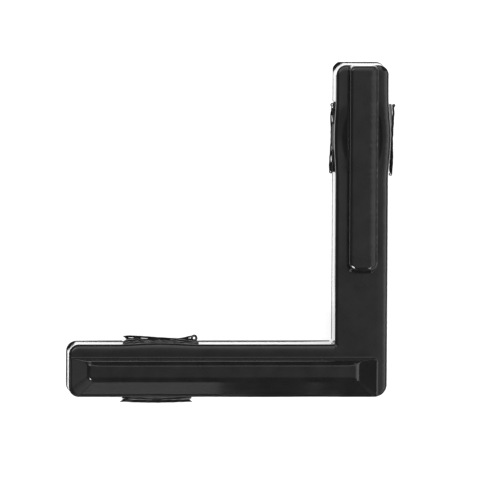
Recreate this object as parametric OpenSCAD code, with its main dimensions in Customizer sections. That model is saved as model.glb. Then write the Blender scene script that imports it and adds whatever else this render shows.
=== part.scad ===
// Inner corner connector: one moulded piece that joins two lengths of hollow frame profile
// at a right angle. It lies on its flat back. The ridged leg runs towards -X and the barred
// leg towards +Y, and a pair of grip pads on each leg wedges it in the profile.
// The origin is where the two centre lines cross, on the back face.

/* [Legs] */
// Reach of the ridged leg, from the outer side of the corner to its tip
ridge_leg_len = 23.54; // [18:0.02:40]
// Reach of the barred leg, from the outer side of the corner to its tip
bar_leg_len = 24.52; // [20:0.02:40]
// Width of each leg
leg_w = 3.88; // [3.4:0.02:6]
// Thickness of each leg, without its raised feature
leg_t = 3.5; // [2.4:0.1:6]
// Plan radius of the tip corners
tip_r = 0.75; // [0.4:0.05:1.2]
// Plan radius of the outer corner
corner_r = 0.9; // [0.4:0.05:1.5]
// Plan radius of the fillet in the inner corner
inner_r = 0.15; // [0.05:0.05:1]
// Rounding of the legs' edges
edge_r = 0.2; // [0.06:0.01:0.3]

/* [Bar] */
// Length of the bar, from the leg's tip to its inner foot
bar_len = 15.3; // [6:0.1:18]
// Width of the bar at its foot
bar_w = 2.17; // [1.2:0.01:3]
// Height of the bar above the leg
bar_h = 1.1; // [0.5:0.05:3]
// How far each side of the bar leans in, from foot to top
bar_lean = 0.07; // [0:0.01:0.3]
// How far the bar's inner end leans in, from foot to top
bar_end_lean = 0.36; // [0:0.01:1.5]
// Offset of the bar from the leg's centre line, towards the outer side
bar_offset = 0.03; // [-0.2:0.01:0.2]
// Plan radius of the bar's foot
bar_r = 0.45; // [0.1:0.01:0.55]

/* [Ridge] */
// Flat rim between the ridge and the leg's tip and outer side
ridge_rim = 0.17; // [0.05:0.01:0.35]
// Flat left between the ridge and the far side of the corner
ridge_end_gap = 0.74; // [0.3:0.01:3]
// Width of the ridge at its foot
ridge_w = 2.72; // [2:0.01:3]
// Height of the ridge above the leg
ridge_h = 1.1; // [0.5:0.05:3]
// Plan width of the steep bevel, on the inner side
ridge_inner_bevel = 0.3; // [0.1:0.01:0.6]
// Plan width of the wide bevel, on the outer side
ridge_outer_bevel = 1.16; // [0.3:0.01:1.4]
// Plan width of the bevel at the leg's tip
ridge_tip_bevel = 1.18; // [0.3:0.01:3]
// Plan width of the bevel at the corner
ridge_end_bevel = 1.6; // [0.3:0.01:3]
// Plan radius of the ridge's foot at the corner
ridge_r = 0.36; // [0.1:0.01:0.6]
// Rounding of the top edges of the ridge and the bar
top_edge_r = 0.2; // [0.05:0.01:0.25]

/* [Grip pads] */
// Length of each pad along its leg
pad_len = 5.5; // [2:0.1:8]
// Distance of the pads from the tip of the barred leg
bar_pad_tip = 2.6; // [1:0.1:6]
// Distance of the pads from the tip of the ridged leg
ridge_pad_tip = 3.9; // [1:0.1:6]
// Height of the pads' lower edge above the back
pad_z = 0.3; // [0.2:0.05:0.6]
// Height of each pad
pad_h = 2.4; // [0.5:0.05:2.8]
// How far the pads on the outer sides stand proud
outer_pad_proud = 0.5; // [0.3:0.01:1]
// How far the pads on the inner sides stand proud
inner_pad_proud = 0.45; // [0.3:0.01:1]
// How far the inner pads draw in at mid-length
pad_waist = 0.14; // [0:0.01:0.15]
// How far the upper half of each pad stands back from the lower half
pad_step = 0.12; // [0.02:0.01:0.15]
// Length of the ramp at each pad's tip end
pad_ramp = 0.4; // [0.05:0.05:0.9]

/* [Bulges] */
// Length of the swelling of the wall at each pad
bulge_len = 6; // [3:0.1:9]
// Swelling of the barred leg's outer side
bar_outer_bulge = 0.18; // [0.02:0.01:0.6]
// Swelling of the barred leg's inner side
bar_inner_bulge = 0.11; // [0.02:0.01:0.6]
// Swelling of the ridged leg's inner side
ridge_inner_bulge = 0.1; // [0.02:0.01:0.6]
// Swelling of the ridged leg's outer side
ridge_outer_bulge = 0.05; // [0.02:0.01:0.6]

/* [Hidden] */
plastic = [0.06, 0.06, 0.065];
// Facets of the hulled round shapes, in plan and round an edge
plan_fn = 32;
edge_fn = 16;
// Facets of the shapes that stay true curves
curve_fn = 96;
half_w = leg_w / 2;
// How deep a raised feature is rooted in the leg
root = leg_t / 2;

// A torus that rounds an edge at one plan corner of a leg
module edge_ring(r) {
    rotate_extrude($fn = plan_fn)
        translate([r - edge_r, 0])
            circle(edge_r, $fn = edge_fn);
}

// Corner of a leg between back and face, given the centre and radius of its plan arc
module leg_corner(x, y, r) {
    for (z = [edge_r, leg_t - edge_r])
        translate([x, y, z])
            edge_ring(r);
}

// A plain leg of the given reach towards -X, with rounded tip corners and edges
module leg(reach) {
    tip_x = half_w - reach + tip_r;
    hull() {
        leg_corner(tip_x, half_w - tip_r, tip_r);
        leg_corner(tip_x, tip_r - half_w, tip_r);
        leg_corner(half_w - tip_r, half_w - tip_r, tip_r);
        leg_corner(half_w - corner_r, corner_r - half_w, corner_r);
    }
}

// Fillet between the two inner sides
module inner_fillet() {
    translate([-half_w, half_w, edge_r])
        linear_extrude(leg_t - 2 * edge_r)
            difference() {
                translate([-inner_r, -half_w])
                    square([inner_r + half_w, inner_r + half_w]);
                translate([-inner_r, inner_r])
                    circle(inner_r, $fn = curve_fn);
            }
}

// Raised bar along the barred leg, flush with its tip
module bar() {
    tip_y = bar_leg_len - half_w;
    top_half_w = bar_w / 2 - bar_lean - top_edge_r;
    hull() {
        for (side = [-1, 1]) {
            for (y = [tip_y - bar_r, tip_y - bar_len + bar_r])
                translate([bar_offset + side * (bar_w / 2 - bar_r), y, leg_t - root])
                    cylinder(h = root, r = bar_r, $fn = plan_fn);
            for (y = [tip_y - top_edge_r, tip_y - bar_len + bar_end_lean + top_edge_r])
                translate([bar_offset + side * top_half_w, y, leg_t + bar_h - top_edge_r])
                    sphere(top_edge_r, $fn = edge_fn);
        }
    }
}

// One corner of the ridge's foot, given the centre and radius of its plan arc
module ridge_foot(x, y, r) {
    translate([x, y, leg_t - root])
        cylinder(h = root, r = r, $fn = plan_fn);
}

// Raised ridge along the ridged leg, with a hipped bevel on each side
module ridge() {
    foot_x0 = half_w - ridge_leg_len + ridge_rim;
    foot_x1 = half_w - ridge_end_gap;
    foot_y0 = ridge_rim - half_w;
    foot_y1 = foot_y0 + ridge_w;
    tip_foot_r = tip_r - ridge_rim;
    hull() {
        ridge_foot(foot_x0 + edge_r, foot_y1 - edge_r, edge_r);
        ridge_foot(foot_x0 + tip_foot_r, foot_y0 + tip_foot_r, tip_foot_r);
        ridge_foot(foot_x1 - ridge_r, foot_y1 - ridge_r, ridge_r);
        ridge_foot(foot_x1 - ridge_r, foot_y0 + ridge_r, ridge_r);
        for (x = [foot_x0 + ridge_tip_bevel + top_edge_r, foot_x1 - ridge_end_bevel - top_edge_r])
            for (y = [foot_y0 + ridge_outer_bevel + top_edge_r, foot_y1 - ridge_inner_bevel - top_edge_r])
                translate([x, y, leg_t + ridge_h - top_edge_r])
                    sphere(top_edge_r, $fn = edge_fn);
    }
}

// One half of a pad's height: a strip that is drawn in at mid-length and ramped at the tip end
module pad_strip(proud, waist) {
    linear_extrude(pad_h / 2)
        polygon([
            [0, 0],
            [0, half_w],
            [pad_ramp, half_w + proud],
            [pad_len / 2, half_w + proud - waist],
            [pad_len, half_w + proud],
            [pad_len, 0]
        ]);
}

// Lens-shaped swelling of the wall: a slice of a large disc with rounded edges
module bulge(swell) {
    chord = bulge_len / 2;
    disc_r = (chord * chord + swell * swell) / (2 * swell);
    intersection() {
        translate([0, half_w + swell - disc_r, 0])
            rotate_extrude($fn = curve_fn)
                disc_profile(disc_r);
        translate([-chord, 0, 0])
            cube([bulge_len, leg_w, leg_t]);
    }
}

// Half section of a disc of the leg's thickness, with its rim rounded
module disc_profile(r) {
    steps = 6;
    rim = [for (i = [0 : steps]) 90 * i / steps];
    polygon(concat(
        [[0, 0]],
        [for (a = rim) [r - edge_r + edge_r * sin(a), edge_r - edge_r * cos(a)]],
        [for (a = rim) [r - edge_r + edge_r * cos(a), leg_t - edge_r + edge_r * sin(a)]],
        [[0, leg_t]]
    ));
}

// One grip pad with its swelling, on the +Y side of a leg that points to -X
module grip(reach, tip_gap, proud, waist, swell) {
    translate([half_w - reach + tip_gap, 0, 0]) {
        translate([0, 0, pad_z])
            pad_strip(proud, waist);
        translate([0, 0, pad_z + pad_h / 2])
            pad_strip(proud - pad_step, waist);
        translate([pad_len / 2, 0, 0])
            bulge(swell);
    }
}

// Both grips of one leg, the waisted one on the inner side
module leg_grips(reach, tip_gap, inner_bulge, outer_bulge) {
    grip(reach, tip_gap, inner_pad_proud, pad_waist, inner_bulge);
    mirror([0, 1, 0])
        grip(reach, tip_gap, outer_pad_proud, 0, outer_bulge);
}

module corner_connector() {
    color(plastic) {
        leg(ridge_leg_len);
        leg_grips(ridge_leg_len, ridge_pad_tip, ridge_inner_bulge, ridge_outer_bulge);
        ridge();
        mirror([1, 1, 0]) {
            leg(bar_leg_len);
            leg_grips(bar_leg_len, bar_pad_tip, bar_inner_bulge, bar_outer_bulge);
        }
        bar();
        inner_fillet();
    }
}

corner_connector();
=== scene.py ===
"""Dresses the inner corner connector: a finely meshed body, its grip pads, floor, light and camera.

The object's sizes are in millimetres, in the frame's own axes, and become metres when a mesh is made.
"""
import math

import bmesh
import bpy
import numpy as np
from mathutils import Matrix, Vector


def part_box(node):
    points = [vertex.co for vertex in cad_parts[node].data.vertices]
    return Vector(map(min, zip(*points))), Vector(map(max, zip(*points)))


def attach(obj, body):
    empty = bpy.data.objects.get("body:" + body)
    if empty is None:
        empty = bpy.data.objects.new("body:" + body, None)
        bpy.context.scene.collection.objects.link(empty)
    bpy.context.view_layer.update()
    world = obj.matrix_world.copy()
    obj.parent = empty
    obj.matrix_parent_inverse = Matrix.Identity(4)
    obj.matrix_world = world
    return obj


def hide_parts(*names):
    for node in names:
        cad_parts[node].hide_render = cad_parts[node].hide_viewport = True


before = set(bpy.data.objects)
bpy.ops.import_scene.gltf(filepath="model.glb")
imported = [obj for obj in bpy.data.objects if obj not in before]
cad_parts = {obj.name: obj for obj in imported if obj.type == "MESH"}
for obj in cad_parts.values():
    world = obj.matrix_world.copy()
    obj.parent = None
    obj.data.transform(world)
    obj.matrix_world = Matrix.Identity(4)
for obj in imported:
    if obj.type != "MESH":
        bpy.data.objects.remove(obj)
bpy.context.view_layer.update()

NODE = "corner_connector"
BODY = "root"
MM = 0.001

# Farther off than any point of the object, for boxes that are open on one side
FAR = 50

# Main sizes of the body
node_low, node_high = (np.array(corner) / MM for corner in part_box(NODE))
TIP_X = node_low[0]
TIP_Y = node_high[1]
TOP_Z = node_high[2]
RAISED = 1.1
FACE_Z = TOP_Z - RAISED
HALF_W = 1.94
TIP_R = 0.75
CORNER_R = 0.9
BACK_R = 0.12
FOOT_R = 0.06
INNER_FILL = 0.03
INNER_FILL_REACH = 0.2

# The legs' edges: how far each reaches in and down, how much of its reach lies past the wall, and the width
# of a chamfer along the wall, which is below 0 where there is none
EDGE_LEFT = (0.3, 0.12, 0.06, 0.15)
EDGE_RIGHT = (0.34, 0.22, 0.0, -0.3)
EDGE_BACK = (0.37, 0.17, 0.0, 0.17)
EDGE_FRONT = (0.12, 0.12, 0.0, -0.3)
EDGE_TIP = (0.54, 0.32, 0.09, 0.07)
EDGE_BLEND = 0.2
DEEPEST_EDGE = EDGE_TIP[1]
CHAMFER_SLOPE = math.radians(36)

# Edges swell and shrink like a row of beads, from a little to -X of the middle of the barred leg on to +X
EDGE_BEADING = 0.09
EDGE_BEAD_SEED = 53
BEAD_LEN = 0.3
BEAD_START = 0.2

# The thin lip round the base, which is wider on the sides that look to +Y and begins a little way from the
# inner corner. At the -X +Y corner of each tip it squares out past the wall's arc while the wall is tucked
# in, by no more than the two values of that corner. The ridged leg's tip and back are tucked in a little.
LIP = 0.02
LIP_BACK = 0.018
LIP_BAR_TIP = 0.03
LIP_RUN = 3
LIP_INNER_START = 0.2
LIP_RIDGE_CORNER = (0.0, 0.08)
LIP_BAR_CORNER = (0.07, 0.02)
RIDGE_TIP_TUCK = 0.04
RIDGE_BACK_TUCK = 0.02
LIP_STEEPNESS = 0.8
LIP_Z = 0.2

# The face is crowned near its +X and +Y edges, leans to the bar on the bar's inner side, and tilts to -X on
# both sides of the bar at the pads
CROWN_W = 0.85
CROWN_BEND = 0.055
STRIP_LEAN = 0.03
STRIP_LEAN_RUN = 3
TILT_DROP = 0.1
TILT_SHARE = 0.75

# Soft waves of the flat faces: height, length and seed
FACE_WAVES = (0.004, 3.5, 11)
BAR_WAVES = (0.003, 2.8, 23)
RIDGE_WAVES = (0.003, 2.8, 37)

# How far the edges of the bar and of the ridge take to pass from one side to the next
RAISED_EDGE_BLEND = 0.12

# The bar on the leg that runs to +Y. Its edges are those of its left, right, inner and tip sides, each with
# how far it reaches in and down. The right one is worn, and has a chamfer along the wall.
BAR_LEN = 15.3
BAR_X = 0.03
BAR_HALF_W = 1.085
BAR_FOOT = TIP_Y - BAR_LEN
BAR_LEAN = 0.07
BAR_END_LEAN = 0.22
BAR_RADII = (0.6, 0.6, 0.36, 0.36)
BAR_EDGES = ((0.28, 0.09), (0.58, 0.2), (0.2, 0.2), (0.36, 0.24))
BAR_CHAMFER = 0.17
BAR_CHAMFER_FALL = 0.055
BAR_BEADING = 0.16
BAR_BEAD_SEED = 41
WORN = "worn"
WORN_HALF_W = 0.25
WORN_ABOVE_FACE = 0.3
WORN_RUN = 0.3

# Small flats on the top corners at the bar's foot: place from its middle and foot, azimuth, tilt and depth
BAR_FLATS = ((-0.71, 0.454, 231, 20.5, 0.0225), (0.615, 0.433, 297, 18.2, 0.0275))

# The hipped ridge on the leg that runs to -X. Its edges are those of its tip, end, outer and inner sides.
# Their third value is 2 for a round edge and near 1 for a chamfer.
RIDGE_RIM = 0.17
RIDGE_END_GAP = 0.74
RIDGE_W = 2.72
RIDGE_X0 = TIP_X + RIDGE_RIM
RIDGE_X1 = HALF_W - RIDGE_END_GAP
RIDGE_Y0 = RIDGE_RIM - HALF_W
RIDGE_Y1 = RIDGE_Y0 + RIDGE_W
RIDGE_INNER_BEVEL = 0.22
RIDGE_TIP_BEVEL = 1.22
RIDGE_END_BEVEL = 1.53
RIDGE_EDGES = ((0.14, 0.1, 2), (0.14, 0.13, 2), (0.2, 0.11, 2), (0.29, 0.25, 1.03))

# Plan radii of the ridge's corners at its foot and top, and the power by which each passes to the other. The
# inner corner at its end is also rounded along the steep side.
RIDGE_FOOT_R = (TIP_R - RIDGE_RIM, 0.4, 0.06, 0.06)
RIDGE_TOP_R = (0.44, 0.08, 0.03, 0.3)
RIDGE_R_POWERS = (1, 1, 1, 4)
RIDGE_CORNER_R = 0.41

# The outer bevel leans a little more beyond one place on its way to the corner, and eases near its end
RIDGE_OUTER_RUN = 1.16
RIDGE_OUTER_TOP = RIDGE_Y0 + RIDGE_OUTER_RUN
RIDGE_OUTER_BEVEL = 1.193
TWIST = 0.2
TWIST_X0 = -11.07
TWIST_X1 = -7.4
EASE = 0.165
EASE_X = -3.5
EASE_HALF_LEN = 2.6

# Where the bevels stop cutting the leg below the ridge: before its end and its inner side, and how fast
BEVEL_CUT_END = 0.4
BEVEL_CUT_INNER = 0.2
BEVEL_CUT_FADE = 0.5

# The grip pads and the swelling of the wall at each, which has its full size from one height up
PAD_LEN = 5.5
PAD_STEPS = 240
BAR_PAD_TIP = 2.6
RIDGE_PAD_TIP = 3.9
BAR_PAD_Y = TIP_Y - BAR_PAD_TIP - PAD_LEN / 2
RIDGE_PAD_X = TIP_X + RIDGE_PAD_TIP + PAD_LEN / 2
BULGE_HALF_LEN = 3.0
BULGE_FULL_Z = 1.8
BAR_OUTER_BULGE = 0.18
BAR_INNER_BULGE = 0.11
RIDGE_INNER_BULGE = 0.1
RIDGE_OUTER_BULGE = 0.05

# The lamps: name, azimuth round from +X, angle down from the zenith, half of what each spans across and up,
# all in degrees, and radiance
PANELS = (
    ("overhead_panel", 270, 5, 6.5, 3.8, 0.34),
    ("overhead_back_panel", 90, 4.2, 6.5, 5.4, 0.7),
    ("overhead_right_panel", 0, 10, 9, 3.5, 0.7),
    ("right_panel", 0, 22, 18, 8.5, 1.4),
    ("right_softbox", 0, 45.5, 22, 15, 2.5),
    ("back_panel", 90, 22, 18, 12, 1.6),
    ("back_softbox", 90, 47, 18, 12, 2.4),
    ("left_card", 180, 81, 22, 8, 0.55),
    ("front_left_card", 237.5, 78, 32.5, 11, 0.8),
    ("front_right_card", 315, 78, 20, 11, 0.35),
    ("back_left_key", 130, 30, 13, 11, 4),
    ("front_left_key", 240, 42, 5, 5, 30),
    ("front_right_key", 300, 42, 5, 5, 12),
)
WORLD_STRENGTH = 0.08

# What the camera looks at, and how far it leans to -X and +Y for each step up
VIEW_X = -9.01
VIEW_Y = 9.67
VIEW_LEAN = 0.0737


# Shaping functions. Distances are negative inside.

def smooth_step(u):
    """A smooth rise from 0 to 1 while u passes from 0 to 1."""
    u = np.clip(u, 0, 1)
    return u * u * (3 - 2 * u)


def lens(u):
    """A smooth hump between -1 and 1."""
    return np.clip(1 - u * u, 0, 1) ** 2


def waves(u, v, size, seed):
    """Soft noise of about unit height: a few waves of about that length in mixed directions."""
    count = 7
    shortest = 0.6
    longest = 1.7
    rng = np.random.default_rng(seed)
    total = np.zeros(np.broadcast(u, v).shape)
    for _ in range(count):
        turn = rng.uniform(0, math.tau)
        number = math.tau / (size * rng.uniform(shortest, longest))
        phase = rng.uniform(0, math.tau)
        total += np.sin((u * math.cos(turn) + v * math.sin(turn)) * number + phase)
    return total / math.sqrt(count)


def ripple(x, y, height, size, seed):
    """Height of the soft waves of a flat face."""
    return height * waves(x, y, size, seed)


def rounded_box(x, y, x0, x1, y0, y1, radii):
    """Distance to a rectangle. The radii are of its corners (x0, y0), (x1, y0), (x1, y1) and (x0, y1)."""
    dx = x - (x0 + x1) / 2
    dy = y - (y0 + y1) / 2
    r_low = np.where(dx < 0, radii[0], radii[1])
    r_high = np.where(dx < 0, radii[3], radii[2])
    r = np.where(dy < 0, r_low, r_high)
    qx = np.abs(dx) - (x1 - x0) / 2 + r
    qy = np.abs(dy) - (y1 - y0) / 2 + r
    outside = np.hypot(np.maximum(qx, 0), np.maximum(qy, 0))
    return outside + np.minimum(np.maximum(qx, qy), 0) - r


def eased_overlap(a, b, reach_a, reach_b, power=2):
    """Overlap of two solids, with the edge between them eased.

    The edge is a quarter of an ellipse at a power of 2, and a chamfer at a power of 1.
    """
    u = np.maximum((a + reach_a) / reach_a, 0)
    v = np.maximum((b + reach_b) / reach_b, 0)
    eased = ((u ** power + v ** power) ** (1 / power) - 1) * reach_b
    return np.where((u > 0) & (v > 0), eased, np.maximum(a, b))


def filleted_union(a, b, r):
    """Union of two solids, with the corner between them filleted."""
    return np.maximum(np.minimum(a, b), r) - np.hypot(np.maximum(r - a, 0), np.maximum(r - b, 0))


def chamfer_plane(above, beyond):
    """Distance to the plane of a chamfer, given how far a point is above a line on it and beyond it."""
    return above * math.cos(CHAMFER_SLOPE) + beyond * math.sin(CHAMFER_SLOPE)


def nearest_edge(distances, edges, blend):
    """The edge that belongs to the nearest of several sides, passing smoothly from one to the next."""
    far_outside = -1
    weights = [np.exp(-np.maximum(d, far_outside) / blend) for d in distances]
    total = sum(weights)
    return tuple(sum(w * size for w, size in zip(weights, sizes)) / total for sizes in zip(*edges))


def beaded(edge, x, y, share, seed):
    """An edge whose sizes swell and shrink along its length, more so on the +X sides."""
    side = smooth_step(x / HALF_W + BEAD_START)
    swell = 1 + share * side * waves(y, 0 * x, BEAD_LEN, seed)
    return tuple(size * swell for size in edge)


# The body

def leg_outline(x, y):
    """Distance to the plan of the two legs."""
    radii = (TIP_R, CORNER_R, TIP_R, TIP_R)
    ridged = rounded_box(x, y, TIP_X, HALF_W, -HALF_W, HALF_W, radii)
    barred = rounded_box(x, y, -HALF_W, HALF_W, -HALF_W, TIP_Y, radii)
    return np.minimum(ridged, barred)


def strip_right(x):
    """How far a point lies across the flat strip on the bar's outer side, from 0 to 1."""
    return np.clip((x - BAR_X - BAR_HALF_W) / (HALF_W - BAR_X - BAR_HALF_W), 0, 1)


def strip_left(x):
    """How far a point lies across the flat strip on the bar's inner side, from 0 to 1."""
    return np.clip((BAR_X - BAR_HALF_W - x) / (HALF_W + BAR_X - BAR_HALF_W), 0, 1)


def crown(x, y):
    """How far the face falls off towards the +X and +Y sides."""
    to_back = np.where(x < -HALF_W, HALF_W, TIP_Y) - y
    from_side = np.minimum(HALF_W - x, to_back)
    return CROWN_BEND / 2 * np.maximum(CROWN_W - from_side, 0) ** 2


def face_height(x, y):
    """Height of the legs' face, with its waves, its crown and what it drops beside the bar."""
    along = lens((y - BAR_PAD_Y) / BULGE_HALF_LEN)
    right = np.clip(1 - strip_right(x) / TILT_SHARE, 0, 1) ** 2
    left = 1 - np.clip(1 - strip_left(x) / TILT_SHARE, 0, 1) ** 2
    drop = TILT_DROP * along * np.where(x > BAR_X, right, left)
    from_foot = smooth_step((y - BAR_FOOT) / STRIP_LEAN_RUN)
    lean = STRIP_LEAN * (1 - along) * (1 - strip_left(x)) * from_foot
    drop += np.where(x > BAR_X, 0, lean)
    return FACE_Z + ripple(x, y, *FACE_WAVES) - drop - crown(x, y)


def corner_flat(x, y, z, from_middle, from_foot, azimuth, tilt, depth):
    """Distance above a tilted plane that cuts a corner of the bar's top."""
    a = math.radians(azimuth)
    t = math.radians(tilt)
    out = (x - BAR_X - from_middle) * math.cos(a) + (y - BAR_FOOT - from_foot) * math.sin(a)
    return out * math.sin(t) + (z - TOP_Z + depth) * math.cos(t)


def bar(x, y, z):
    """Distance to the raised bar."""
    t = (z - FACE_Z) / RAISED
    left = BAR_X - BAR_HALF_W + BAR_LEAN * t
    right = BAR_X + BAR_HALF_W - BAR_LEAN * t
    foot = BAR_FOOT + BAR_END_LEAN * t
    sides = rounded_box(x, y, left, right, foot, TIP_Y, BAR_RADII)
    top = z - TOP_Z - ripple(x, y, *BAR_WAVES)
    edge = nearest_edge((x - left, right - x, y - foot, TIP_Y - y), BAR_EDGES, RAISED_EDGE_BLEND)
    rounded = eased_overlap(sides, top, *beaded(edge, x, y, BAR_BEADING, BAR_BEAD_SEED))
    worn_side = chamfer_plane(top + BAR_CHAMFER_FALL, x - right + BAR_CHAMFER)
    flats = [corner_flat(x, y, z, *flat) for flat in BAR_FLATS]
    return np.maximum.reduce([rounded, worn_side] + flats)


def twisted(x):
    """How far the ridge has passed from its crisp part near the tip to its softer part, from 0 to 1."""
    return smooth_step((x - TWIST_X0) / (TWIST_X1 - TWIST_X0))


def outer_bevel(x):
    """Plan width of the ridge's outer bevel, less what the swelling at the pad will add to it."""
    stretch = RIDGE_OUTER_BULGE / (HALF_W + RIDGE_OUTER_TOP)
    even = RIDGE_OUTER_BEVEL / (1 + stretch * lens((x - RIDGE_PAD_X) / BULGE_HALF_LEN))
    return even + TWIST * twisted(x) - EASE * lens((x - EASE_X) / EASE_HALF_LEN)


def outer_side(x, t):
    """Y of the ridge's outer bevel at a share t of its height. Its top edge is straight."""
    return RIDGE_OUTER_TOP - outer_bevel(x) * (1 - t)


def ridge(x, y, z):
    """Distance to the raised ridge."""
    t = (z - FACE_Z) / RAISED
    x0 = RIDGE_X0 + RIDGE_TIP_BEVEL * t
    x1 = RIDGE_X1 - RIDGE_END_BEVEL * t
    y0 = outer_side(x, t)
    y1 = RIDGE_Y1 - RIDGE_INNER_BEVEL * t
    up = np.clip(t, 0, 1)
    radii = [
        foot_r + (top_r - foot_r) * up ** power
        for foot_r, top_r, power in zip(RIDGE_FOOT_R, RIDGE_TOP_R, RIDGE_R_POWERS)
    ]
    steep_x1 = RIDGE_X1 - RIDGE_INNER_BEVEL * t
    inner_corner = rounded_box(x, y, x0 - FAR, steep_x1, y0 - FAR, y1, (0, 0, RIDGE_CORNER_R, 0))
    sides = np.maximum(rounded_box(x, y, x0, x1, y0, y1, radii), inner_corner)
    top = z - TOP_Z - ripple(x, y, *RIDGE_WAVES)
    edge = nearest_edge((x - x0, x1 - x, y - y0, y1 - y), RIDGE_EDGES, RAISED_EDGE_BLEND)
    return eased_overlap(sides, top, *edge)


def bevel_cut(x, y, z):
    """The ridge's tip and outer bevels carried on past the face, down to the leg's walls."""
    t = (z - FACE_Z) / RAISED
    x0 = RIDGE_X0 + RIDGE_TIP_BEVEL * t
    y0 = outer_side(x, t)
    r = RIDGE_FOOT_R[0]
    cut = rounded_box(x, y, x0, x0 + FAR, y0, y0 + FAR, (r, r, r, r))
    past_end = np.maximum(x - RIDGE_X1 + BEVEL_CUT_END, 0)
    past_inner = np.maximum(y - RIDGE_Y1 + BEVEL_CUT_INNER, 0)
    return cut - BEVEL_CUT_FADE * (past_end + past_inner)


def slab(x, y, z):
    """Distance to the two legs, without what stands on them."""
    left = np.where(y > HALF_W, x + HALF_W, x - TIP_X)
    back = np.where(x < -HALF_W, HALF_W - y, FAR)
    to_sides = (left, HALF_W - x, back, y + HALF_W, TIP_Y - y)
    edges = (EDGE_LEFT, EDGE_RIGHT, EDGE_BACK, EDGE_FRONT, EDGE_TIP)
    edge = nearest_edge(to_sides, edges, EDGE_BLEND)
    reach_in, reach_down, past, chamfer = beaded(edge, x, y, EDGE_BEADING, EDGE_BEAD_SEED)
    walls = leg_outline(x, y)
    face = z - face_height(x, y)
    rounded = eased_overlap(walls - past, face, reach_in, reach_down)
    share = np.clip(1 - (past + chamfer) / reach_in, 0, 1)
    fall = reach_down * (1 - np.sqrt(1 - share * share))
    facet = chamfer_plane(face + fall, walls + chamfer)
    return np.maximum.reduce([rounded, walls, facet, bevel_cut(x, y, z)])


def solid(x, y, z):
    """Distance to the whole body."""
    barred = filleted_union(slab(x, y, z), bar(x, y, z), FOOT_R)
    return filleted_union(barred, ridge(x, y, z), FOOT_R)


def top_height(x, y):
    """Height of the body's upper surface over each point of its plan, found by halving."""
    halvings = 36
    inside_tol = 1e-6
    search_below = 3 * DEEPEST_EDGE
    low = np.full(x.shape, FACE_Z - search_below)
    high = np.full(x.shape, TOP_Z + DEEPEST_EDGE)
    for _ in range(halvings):
        middle = (low + high) / 2
        inside = solid(x, y, middle) <= inside_tol
        low = np.where(inside, middle, low)
        high = np.where(inside, high, middle)
    return low


def graded(start, end, marks, fine=0.022, coarse=0.16, growth=0.22):
    """Grid lines from start to end, close together near the marks and wider apart between them."""
    places = [start]
    while places[-1] < end:
        gap = min(abs(places[-1] - mark) for mark in marks)
        places.append(places[-1] + min(coarse, fine + growth * gap))
    places = np.array(places)
    return start + (places - start) * (end - start) / (places[-1] - start)


def grid_lines():
    """Grid lines along X and Y, and the places among them of the lines through the inner corner."""
    bar_left = BAR_X - BAR_HALF_W
    bar_right = BAR_X + BAR_HALF_W
    bar_walls = [bar_left, bar_left + BAR_LEAN, bar_right - BAR_LEAN, bar_right]
    flats_x = [BAR_X + flat[0] for flat in BAR_FLATS]
    flat_y = BAR_FOOT + BAR_FLATS[0][1]
    ridge_edge = RIDGE_Y1 - RIDGE_INNER_BEVEL
    ridge_chamfer = ridge_edge - RIDGE_EDGES[3][0]
    x_leg = graded(TIP_X, -HALF_W, [TIP_X, RIDGE_X0, RIDGE_X0 + RIDGE_TIP_BEVEL, -HALF_W])
    x_corner = graded(-HALF_W, HALF_W, [-HALF_W, RIDGE_X1, HALF_W] + bar_walls + flats_x, fine=0.011)
    y_corner = graded(
        -HALF_W, HALF_W,
        [-HALF_W, RIDGE_Y0, RIDGE_OUTER_TOP, ridge_chamfer, ridge_edge, RIDGE_Y1, HALF_W])
    y_leg = graded(
        HALF_W, TIP_Y,
        [HALF_W, BAR_FOOT, BAR_FOOT + BAR_END_LEAN, flat_y, TIP_Y], coarse=0.07)
    x_lines = np.concatenate([x_leg, x_corner[1:]])
    y_lines = np.concatenate([y_corner, y_leg[1:]])
    return x_lines, y_lines, len(x_leg) - 1, len(y_corner) - 1


def round_corner(x, y, corner, sides, r):
    """Moves the grid at one outer corner of the plan, so that its lines follow an arc."""
    a = (x - corner[0]) * sides[0] / r + 1
    b = (y - corner[1]) * sides[1] / r + 1
    near = (a > 0) & (b > 0)
    new_a = a * np.sqrt(np.clip(1 - b * b / 2, 0, 1))
    new_b = b * np.sqrt(np.clip(1 - a * a / 2, 0, 1))
    x = np.where(near, corner[0] + (new_a - 1) * r * sides[0], x)
    y = np.where(near, corner[1] + (new_b - 1) * r * sides[1], y)
    return x, y


def plan_grid():
    """Grid of points over the body's plan, and the places in it of the inner corner."""
    x_lines, y_lines, inner_i, inner_j = grid_lines()
    x, y = np.meshgrid(x_lines, y_lines, indexing="ij")
    for corner, sides, r in (
        ((TIP_X, -HALF_W), (-1, -1), TIP_R),
        ((TIP_X, HALF_W), (-1, 1), TIP_R),
        ((HALF_W, -HALF_W), (1, -1), CORNER_R),
        ((HALF_W, TIP_Y), (1, 1), TIP_R),
        ((-HALF_W, TIP_Y), (-1, 1), TIP_R),
    ):
        x, y = round_corner(x, y, corner, sides, r)
    return x, y, inner_i, inner_j


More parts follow.
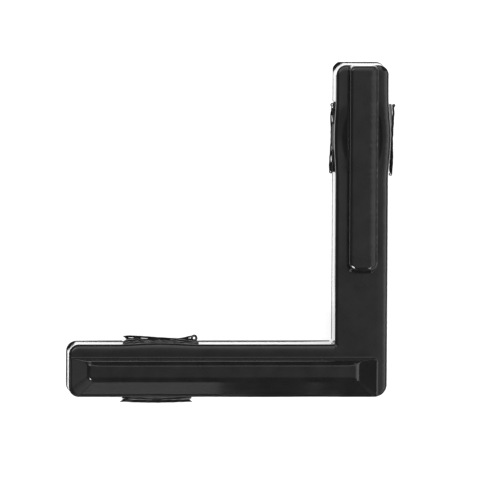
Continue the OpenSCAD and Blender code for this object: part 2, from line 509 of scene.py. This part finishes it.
def swelling(x, y):
    """Plan shift of a point of the body: the swellings at the pads and the fill of the inner corner."""
    along_y = lens((y - BAR_PAD_Y) / BULGE_HALF_LEN)
    along_x = lens((x - RIDGE_PAD_X) / BULGE_HALF_LEN)
    inner = np.clip((y - RIDGE_Y1) / (HALF_W - RIDGE_Y1), 0, 1)
    outer = np.clip((RIDGE_OUTER_TOP - y) / (HALF_W + RIDGE_OUTER_TOP), 0, 1)
    shift_x = along_y * (BAR_OUTER_BULGE * strip_right(x) - BAR_INNER_BULGE * strip_left(x))
    shift_y = along_x * (RIDGE_INNER_BULGE * inner - RIDGE_OUTER_BULGE * outer)
    fill = INNER_FILL * np.clip(1 - np.hypot(x + HALF_W, y - HALF_W) / INNER_FILL_REACH, 0, 1) ** 2
    return shift_x - fill, shift_y + fill


def outline_places(count_x, count_y, inner_i, inner_j):
    """Grid places along the body's plan outline, anticlockwise from the ridged leg's outer tip corner."""
    last_i = count_x - 1
    last_j = count_y - 1
    places = [(i, 0) for i in range(last_i)]
    places += [(last_i, j) for j in range(last_j)]
    places += [(i, last_j) for i in range(last_i, inner_i, -1)]
    places += [(inner_i, j) for j in range(last_j, inner_j, -1)]
    places += [(i, inner_j) for i in range(inner_i, 0, -1)]
    places += [(0, j) for j in range(inner_j, 0, -1)]
    return places


def outward(x, y):
    """Directions straight out from the points of a closed outline that runs anticlockwise."""
    along_x = np.roll(x, -1) - np.roll(x, 1)
    along_y = np.roll(y, -1) - np.roll(y, 1)
    length = np.hypot(along_x, along_y)
    return along_y / length, -along_x / length


def lip_and_tuck(x, y, out_x, out_y):
    """How far the base lip reaches past the plan's outline, and how far the wall above it is tucked in."""
    from_corner = np.hypot(x + HALF_W, y - HALF_W)
    ridged = x < -HALF_W
    to_back = np.maximum(out_y, 0)
    at_tips = (out_x < 0) & (out_y > 0) & (from_corner > TIP_R)
    squared = np.where(at_tips, TIP_R / np.maximum(np.abs(out_x), np.abs(out_y)) - TIP_R, 0)
    past, tuck = (
        np.minimum(squared, np.where(ridged, *most))
        for most in zip(LIP_RIDGE_CORNER, LIP_BAR_CORNER)
    )
    tuck += RIDGE_TIP_TUCK * np.maximum(-out_x, 0) * (x < TIP_X + TIP_R)
    tuck += RIDGE_BACK_TUCK * to_back * ridged * smooth_step(from_corner / LIP_RUN)
    back = np.where(ridged, LIP_BACK, LIP_BAR_TIP) * to_back * smooth_step((x - TIP_X) / LIP_RUN)
    lip = (LIP + back) * smooth_step(from_corner / INNER_FILL_REACH - LIP_INNER_START) + past
    return lip, tuck


def wall_rings(rim_z, lip, tuck):
    """Rings of the body's walls from its rim down to its back, each as how far in from the plan and how high.

    The second list has the places among them of the rings along which the surface is creased.
    """
    wall_rows = 10
    lip_rows = 3
    back_rows = 4
    wall_foot = LIP_Z + LIP_STEEPNESS * (lip + tuck)
    rings = []
    for row in range(1, wall_rows + 1):
        rings.append((tuck * row / wall_rows, rim_z + (wall_foot - rim_z) * row / wall_rows))
    for row in range(1, lip_rows + 1):
        ring_z = wall_foot + (LIP_Z - wall_foot) * row / lip_rows
        rings.append((tuck - (lip + tuck) * row / lip_rows, ring_z))
    for row in range(back_rows + 1):
        angle = math.pi / 2 * row / back_rows
        ring_z = np.full(len(lip), BACK_R * (1 - math.sin(angle)))
        rings.append((BACK_R * (1 - math.cos(angle)) - lip, ring_z))
    return rings, [wall_rows - 1, wall_rows + lip_rows - 1]


def ring_faces(upper, lower):
    """Faces between two closed rings of as many points, seen from outside."""
    next_upper = np.roll(upper, -1)
    next_lower = np.roll(lower, -1)
    return np.stack([upper, lower, next_lower, next_upper], axis=1).tolist()


def make_object(name, points, faces, material, flat_faces=0, crease=(), closed=True):
    """A mesh object in metres from points in millimetres.

    It is smooth, but for its last few faces and for the edges between the points of the crease.
    """
    mesh = bpy.data.meshes.new(name)
    mesh.from_pydata((np.asarray(points) * MM).tolist(), [], faces)
    smooth = np.ones(len(mesh.polygons), bool)
    if flat_faces:
        smooth[-flat_faces:] = False
    mesh.polygons.foreach_set("use_smooth", smooth)
    mesh.materials.append(material)
    if closed:
        turned = bmesh.new()
        turned.from_mesh(mesh)
        bmesh.ops.recalc_face_normals(turned, faces=turned.faces)
        turned.to_mesh(mesh)
        turned.free()
    if len(crease):
        ends = np.zeros(2 * len(mesh.edges), int)
        mesh.edges.foreach_get("vertices", ends)
        mesh.edges.foreach_set("use_edge_sharp", np.isin(ends.reshape(-1, 2), crease).all(axis=1))
    mesh.update()
    made = bpy.data.objects.new(name, mesh)
    bpy.context.scene.collection.objects.link(made)
    return made


def worn_share(points):
    """How worn each point is, from 0 to 1: the outer edge of the bar's top."""
    x, y, z = points.T
    across = lens((x - BAR_X - BAR_HALF_W + WORN_HALF_W) / (2 * WORN_HALF_W))
    return across * smooth_step((z - FACE_Z - WORN_ABOVE_FACE) / WORN_RUN) * (y > BAR_FOOT)


def make_body(material):
    """The body: a grid over its plan as the upper surface, rings as the walls and one face as the back."""
    x, y, inner_i, inner_j = plan_grid()
    i, j = np.indices(x.shape)
    used = (i >= inner_i) | (j <= inner_j)
    number = np.full(x.shape, -1)
    number[used] = np.arange(used.sum())
    z = np.zeros(x.shape)
    z[used] = top_height(x[used], y[used])
    shift_x, shift_y = swelling(x, y)
    rows = [np.stack([(x + shift_x)[used], (y + shift_y)[used], z[used]], axis=1)]
    filled = ((i >= inner_i) | (j < inner_j))[:-1, :-1]
    corners = [number[:-1, :-1], number[1:, :-1], number[1:, 1:], number[:-1, 1:]]
    faces = np.stack([c[filled] for c in corners], axis=1).tolist()

    outline = tuple(np.array(outline_places(*x.shape, inner_i, inner_j)).T)
    rim_x = x[outline]
    rim_y = y[outline]
    out_x, out_y = outward(rim_x, rim_y)
    lip, tuck = lip_and_tuck(rim_x, rim_y, out_x, out_y)
    rings, creased = wall_rings(z[outline], lip, tuck)
    upper = number[outline]
    creases = [upper]
    total = len(rows[0])
    for place, (inset, ring_z) in enumerate(rings):
        swell = smooth_step(ring_z / BULGE_FULL_Z)
        rows.append(np.stack([
            rim_x + shift_x[outline] * swell - out_x * inset,
            rim_y + shift_y[outline] * swell - out_y * inset,
            ring_z,
        ], axis=1))
        lower = np.arange(total, total + len(upper))
        faces.extend(ring_faces(upper, lower))
        if place in creased:
            creases.append(lower)
        upper = lower
        total += len(lower)
    faces.append(upper[::-1].tolist())

    points = np.concatenate(rows)
    crease = np.concatenate(creases)
    made = make_object("connector_body", points, faces, material, flat_faces=1, crease=crease)
    marks = made.data.attributes.new(WORN, "FLOAT", "POINT")
    marks.data.foreach_set("value", worn_share(points))
    return made


# The grip pads. Their points are given as how far along the wall, how far out from it, and how high.

def sheet_faces(rows, columns, close_rows=False):
    """Faces of a sheet of points that closes on itself across its columns, and along its rows if asked."""
    number = np.arange(rows * columns).reshape(rows, columns)
    if close_rows:
        number = np.concatenate([number, number[:1]])
    ahead = np.roll(number, -1, axis=1)
    corners = [number[:-1], number[1:], ahead[1:], ahead[:-1]]
    return np.stack([c.ravel() for c in corners], axis=1).tolist()


def through(s, places):
    """A run of values at s through places given as where and what, smoothed over a twelfth of its length."""
    where, what = zip(*places)
    half_width = len(s) // 24
    width = 2 * half_width + 1
    run = np.pad(np.interp(s, where, what), half_width, mode="edge")
    return np.convolve(run, np.ones(width) / width, "valid")


class Pad:
    """One grip pad: stepped cores on the wall, with thin fins and small loops of strand at their edges."""

    def __init__(self, bulge, seed):
        self.bulge = bulge
        self.seed = seed
        self.shells = []

    def next_seed(self):
        """A seed for the next shell, with room for one more at each of its steps."""
        self.seed += 10
        return self.seed

    def wall(self, s):
        """How far the wall behind the pad swells out."""
        return self.bulge * lens((s - PAD_LEN / 2) / BULGE_HALF_LEN)

    def add(self, s, section):
        """Adds a closed shell along s, with a section of points that are each how far out and how high."""
        points = np.stack([np.stack([s, out, z], axis=-1) for out, z in section], axis=1)
        rows, columns, _ = points.shape
        faces = sheet_faces(rows, columns)
        faces.append(list(range(columns)))
        faces.append(list(range(rows * columns - columns, rows * columns)))
        self.shells.append((points.reshape(-1, 3), faces))

    def core(self, top_z, steps, shares, rough=0.1):
        """A stepped bar, undercut and closed inside the leg.

        The steps are given from the wall out, each with its width and its slope in degrees, and the shares
        as places along the wall and how much of those widths the bar has there.
        """
        sunk = 0.2
        undercut = 0.4
        foot_z = 0.3
        rough_len = 0.8
        least_share = 0.2
        seed = self.next_seed()
        s = np.linspace(shares[0][0], shares[-1][0], PAD_STEPS)
        share = through(s, shares)
        out = self.wall(s)
        z = np.full(s.shape, top_z)
        section = [(0 * s - sunk, z), (out, z)]
        for place, (width, slope) in enumerate(steps):
            uneven = np.maximum(1 + rough * waves(s, 0 * s, rough_len, seed + place), least_share)
            step_out = width * share * uneven
            out = out + step_out
            z = z - step_out * math.tan(math.radians(slope))
            section.append((out, z))
        section += [(out * (1 - undercut), 0 * s + foot_z), (0 * s - sunk, 0 * s + foot_z)]
        self.add(s, section)

    def fin(self, edge, z, width, slope, rough=0.15):
        """A thin ledge that slopes outwards, narrows at its ends, and has its outer edge at given places."""
        thick = 0.06
        undercut = 0.03
        rough_len = 0.7
        wander = 0.006
        wander_len = 0.5
        end_len = 0.2
        end_share = 0.15
        seed = self.next_seed()
        s = np.linspace(edge[0][0], edge[-1][0], PAD_STEPS)
        from_end = np.minimum(s - s[0], s[-1] - s)
        uneven = 1 + rough * waves(s, 0 * s, rough_len, seed)
        wide = width * uneven * np.clip(from_end / end_len, end_share, 1)
        out = through(s, edge) + wander * waves(s, 0 * s, wander_len, seed + 1)
        drop = wide * math.tan(math.radians(slope))
        self.add(s, [
            (out - wide, z + 0 * s),
            (out, z - drop),
            (out - undercut, z - drop - thick),
            (out - wide - undercut, z - thick + 0 * s),
        ])

    def loop(self, s, out, z, r, thick):
        """A small loop of round strand that lies level."""
        rows = 32
        sides = 12
        turn = np.linspace(0, math.tau, rows, endpoint=False)[:, None]
        round_it = np.linspace(0, math.tau, sides, endpoint=False)[None, :]
        reach = r + thick * np.cos(round_it)
        points = np.stack([
            s + reach * np.cos(turn),
            out + reach * np.sin(turn),
            z + thick * np.sin(round_it) + 0 * turn,
        ], axis=2)
        self.shells.append((points.reshape(-1, 3), sheet_faces(rows, sides, close_rows=True)))

    def build(self, name, material, start, along, outwards):
        """Makes the pad's mesh on a wall, given where it starts there and its directions in plan."""
        points = []
        faces = []
        total = 0
        for shell, shell_faces in self.shells:
            points.append(shell)
            faces.extend([[corner + total for corner in face] for face in shell_faces])
            total += len(shell)
        s, out, z = np.concatenate(points).T
        placed = np.stack([
            start[0] + along[0] * s + outwards[0] * out,
            start[1] + along[1] * s + outwards[1] * out,
            z,
        ], axis=1)
        return make_object(name, placed, faces, material, flat_faces=len(faces))


def bar_outer_pad():
    pad = Pad(BAR_OUTER_BULGE, seed=100)
    pad.core(
        top_z=2.3, steps=((0.18, 56), (0.14, 48)),
        shares=((0.35, 1.0), (1.0, 1.0), (2.75, 0.7), (5.0, 0.35), (5.5, 0.3)))
    pad.fin(
        ((0.35, 0.48), (0.85, 0.54), (1.95, 0.48), (3.05, 0.43), (4.2, 0.46), (4.9, 0.44), (5.5, 0.38)),
        z=2.3, width=0.13, slope=37)
    pad.fin(((3.6, 0.34), (4.3, 0.36), (4.9, 0.33), (5.5, 0.27)), z=2.3, width=0.12, slope=37)
    pad.loop(s=0.46, out=0.47, z=2.2, r=0.085, thick=0.045)
    pad.loop(s=5.53, out=0.27, z=2.2, r=0.085, thick=0.045)
    return pad


def bar_inner_pad():
    pad = Pad(BAR_INNER_BULGE, seed=200)
    pad.core(
        top_z=2.6, steps=((0.09, 28), (0.03, 70), (0.1, 28)),
        shares=((0.15, 0.5), (0.8, 1.0), (1.8, 0.5)), rough=0.35)
    pad.core(top_z=2.4, steps=((0.15, 56),), shares=((1.4, 0.6), (2.7, 1.0), (4.3, 0.7)))
    pad.core(
        top_z=2.6, steps=((0.14, 28), (0.03, 70), (0.13, 28)),
        shares=((3.7, 0.4), (4.4, 1.0), (5.35, 1.0)), rough=0.3)
    pad.fin(
        ((0.55, 0.27), (1.3, 0.35), (2.0, 0.31), (2.9, 0.31), (3.9, 0.36), (4.8, 0.42), (5.4, 0.4)),
        z=2.1, width=0.095, slope=28)
    pad.loop(s=0.4, out=0.22, z=2.3, r=0.09, thick=0.05)
    pad.loop(s=5.35, out=0.28, z=2.2, r=0.09, thick=0.05)
    return pad


def ridge_inner_pad():
    pad = Pad(RIDGE_INNER_BULGE, seed=300)
    pad.core(
        top_z=3.0, steps=((0.03, 60), (0.11, 40), (0.03, 70), (0.14, 40), (0.03, 70), (0.15, 40)),
        shares=(
            (0.12, 0.3), (0.4, 0.7), (0.8, 0.9), (2.0, 0.55),
            (3.4, 0.4), (4.5, 0.7), (5.2, 0.7), (5.72, 0.45),
        ), rough=0.4)
    pad.fin(
        (
            (0.2, 0.5), (0.7, 0.54), (1.5, 0.5), (2.9, 0.4),
            (3.8, 0.35), (4.4, 0.34), (5.0, 0.45), (5.35, 0.56),
        ), z=1.7, width=0.12, slope=40)
    pad.fin(((0.3, 0.42), (1.4, 0.34), (2.6, 0.34), (3.6, 0.26)), z=2.2, width=0.09, slope=40)
    pad.loop(s=5.45, out=0.36, z=1.9, r=0.17, thick=0.09)
    return pad


def ridge_outer_pad():
    pad = Pad(RIDGE_OUTER_BULGE, seed=400)
    pad.core(
        top_z=1.9, steps=((0.2, 60), (0.13, 35), (0.14, 62)),
        shares=((0.15, 0.5), (0.6, 0.87), (2.75, 1.0), (4.9, 0.87), (5.3, 0.6)), rough=0.015)
    pad.fin(
        ((0.02, 0.52), (1.4, 0.59), (2.75, 0.61), (4.1, 0.58), (5.35, 0.53)),
        z=1.55, width=0.19, slope=33, rough=0.03)
    return pad


def make_pads(material):
    bar_start = BAR_PAD_Y + PAD_LEN / 2
    ridge_start = RIDGE_PAD_X - PAD_LEN / 2
    return [
        bar_outer_pad().build("grip_pad_bar_outer", material, (HALF_W, bar_start), (0, -1), (1, 0)),
        bar_inner_pad().build("grip_pad_bar_inner", material, (-HALF_W, bar_start), (0, -1), (-1, 0)),
        ridge_inner_pad().build("grip_pad_ridge_inner", material, (ridge_start, HALF_W), (1, 0), (0, 1)),
        ridge_outer_pad().build("grip_pad_ridge_outer", material, (ridge_start, -HALF_W), (1, 0), (0, -1)),
    ]


# Materials. Their distances are in metres, as the meshes are.

def plastic_material():
    """Glossy black plastic, slightly mottled and finely grained, and duller where the mesh is worn."""
    index = 1.27
    darkest = (0.0085, 0.0085, 0.0090, 1)
    palest = (0.0125, 0.0125, 0.0132, 1)
    bump_height = 0.00002
    material = bpy.data.materials.new("moulded_black_plastic")
    material.use_nodes = True
    nodes = material.node_tree.nodes
    links = material.node_tree.links
    shader = nodes["Principled BSDF"]
    shader.inputs["IOR"].default_value = index
    shader.inputs["Coat Weight"].default_value = 1
    shader.inputs["Coat IOR"].default_value = index
    place = nodes.new("ShaderNodeTexCoord")

    def noise(scale, detail):
        made = nodes.new("ShaderNodeTexNoise")
        made.inputs["Scale"].default_value = scale
        made.inputs["Detail"].default_value = detail
        links.new(place.outputs["Object"], made.inputs["Vector"])
        return made.outputs["Fac"]

    def ramp(source, low, high):
        made = nodes.new("ShaderNodeMapRange")
        made.inputs["To Min"].default_value = low
        made.inputs["To Max"].default_value = high
        links.new(source, made.inputs["Value"])
        return made.outputs["Result"]

    def combine(operation, first, second):
        made = nodes.new("ShaderNodeMath")
        made.operation = operation
        links.new(first, made.inputs[0])
        links.new(second, made.inputs[1])
        return made.outputs["Value"]

    def bump(height, strength):
        made = nodes.new("ShaderNodeBump")
        made.inputs["Strength"].default_value = strength
        made.inputs["Distance"].default_value = bump_height
        links.new(height, made.inputs["Height"])
        return made

    worn = nodes.new("ShaderNodeAttribute")
    worn.attribute_name = WORN
    tone = nodes.new("ShaderNodeValToRGB")
    for stop, position, colour in zip(tone.color_ramp.elements, (0.3, 0.7), (darkest, palest)):
        stop.position = position
        stop.color = colour
    links.new(noise(scale=900, detail=4), tone.inputs["Fac"])
    links.new(tone.outputs["Color"], shader.inputs["Base Color"])
    scuffing = ramp(noise(scale=2500, detail=3), low=0.15, high=0.45)
    dulled = combine("MULTIPLY", worn.outputs["Fac"], scuffing)
    roughness = combine("ADD", ramp(noise(scale=1500, detail=3), low=0.08, high=0.16), dulled)
    grain = bump(noise(scale=9000, detail=2), strength=0.06)
    scuffs = bump(combine("MULTIPLY", worn.outputs["Fac"], noise(scale=6000, detail=3)), strength=0.5)
    links.new(grain.outputs["Normal"], scuffs.inputs["Normal"])
    for layer in ("", "Coat "):
        links.new(roughness, shader.inputs[layer + "Roughness"])
        links.new(scuffs.outputs["Normal"], shader.inputs[layer + "Normal"])
    return material


def floor_material():
    """A pale floor that reads as white to the camera and in reflections, and keeps its shadows."""
    colour = (0.86, 0.86, 0.86, 1)
    glow_strength = 0.62
    material = bpy.data.materials.new("pale_floor")
    material.use_nodes = True
    nodes = material.node_tree.nodes
    links = material.node_tree.links
    nodes.clear()
    output = nodes.new("ShaderNodeOutputMaterial")
    diffuse = nodes.new("ShaderNodeBsdfDiffuse")
    diffuse.inputs["Color"].default_value = colour
    glow = nodes.new("ShaderNodeEmission")
    rays = nodes.new("ShaderNodeLightPath")
    seen = nodes.new("ShaderNodeMath")
    seen.operation = "MAXIMUM"
    links.new(rays.outputs["Is Camera Ray"], seen.inputs[0])
    links.new(rays.outputs["Is Glossy Ray"], seen.inputs[1])
    strength = nodes.new("ShaderNodeMath")
    strength.operation = "MULTIPLY"
    strength.inputs[1].default_value = glow_strength
    links.new(seen.outputs[0], strength.inputs[0])
    links.new(strength.outputs[0], glow.inputs["Strength"])
    both = nodes.new("ShaderNodeAddShader")
    links.new(diffuse.outputs[0], both.inputs[0])
    links.new(glow.outputs[0], both.inputs[1])
    links.new(both.outputs[0], output.inputs["Surface"])
    return material


# Floor, light and camera

def make_floor():
    half = 1500
    z = -0.01
    points = [(-half, -half, z), (half, -half, z), (half, half, z), (-half, half, z)]
    floor = make_object("floor", points, [(0, 1, 2, 3)], floor_material(), closed=False)


def make_panel(aim, name, azimuth, polar, half_width, half_height, radiance):
    """A soft area lamp that faces the object, at a distance in metres."""
    distance = 0.6
    a = math.radians(azimuth)
    p = math.radians(polar)
    way = Vector((math.sin(p) * math.cos(a), math.sin(p) * math.sin(a), math.cos(p)))
    lamp = bpy.data.lights.new(name, "AREA")
    lamp.shape = "RECTANGLE"
    lamp.size = 2 * distance * math.tan(math.radians(half_width))
    lamp.size_y = 2 * distance * math.tan(math.radians(half_height))
    lamp.energy = math.pi * lamp.size * lamp.size_y * radiance
    made = bpy.data.objects.new(name, lamp)
    made.location = aim + way * distance
    made.rotation_mode = "QUATERNION"
    made.rotation_quaternion = (-way).to_track_quat("-Z", "Y")
    made.visible_camera = False
    bpy.context.scene.collection.objects.link(made)


def make_lights(aim):
    for panel in PANELS:
        make_panel(aim, *panel)
    world = bpy.data.worlds.new("dim_studio")
    world.use_nodes = True
    background = world.node_tree.nodes["Background"]
    background.inputs["Color"].default_value = (1, 1, 1, 1)
    background.inputs["Strength"].default_value = WORLD_STRENGTH
    bpy.context.scene.world = world


def make_camera():
    """A long lens almost straight above, and the point that it looks at. Its distances are in metres."""
    target = Vector((VIEW_X, VIEW_Y, FACE_Z)) * MM
    distance = 0.9
    field = 0.03537
    back = Vector((-VIEW_LEAN, VIEW_LEAN, 1)).normalized()
    right = (Vector((1, 0, 0)) - back * back.x).normalized()
    up = back.cross(right)
    data = bpy.data.cameras.new("camera")
    data.sensor_width = 36
    data.lens = data.sensor_width * distance / field
    data.clip_start = 0.01
    data.clip_end = 10
    camera = bpy.data.objects.new("camera", data)
    turn = Matrix((right, up, back)).transposed().to_4x4()
    camera.matrix_world = Matrix.Translation(target + back * distance) @ turn
    bpy.context.scene.collection.objects.link(camera)
    bpy.context.scene.camera = camera
    return target


plastic = plastic_material()
connector = make_body(plastic)
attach(connector, BODY)
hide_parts(NODE)
for pad in make_pads(plastic):
    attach(pad, BODY)
make_floor()
make_lights(make_camera())
bpy.context.scene.view_settings.view_transform = "Standard"
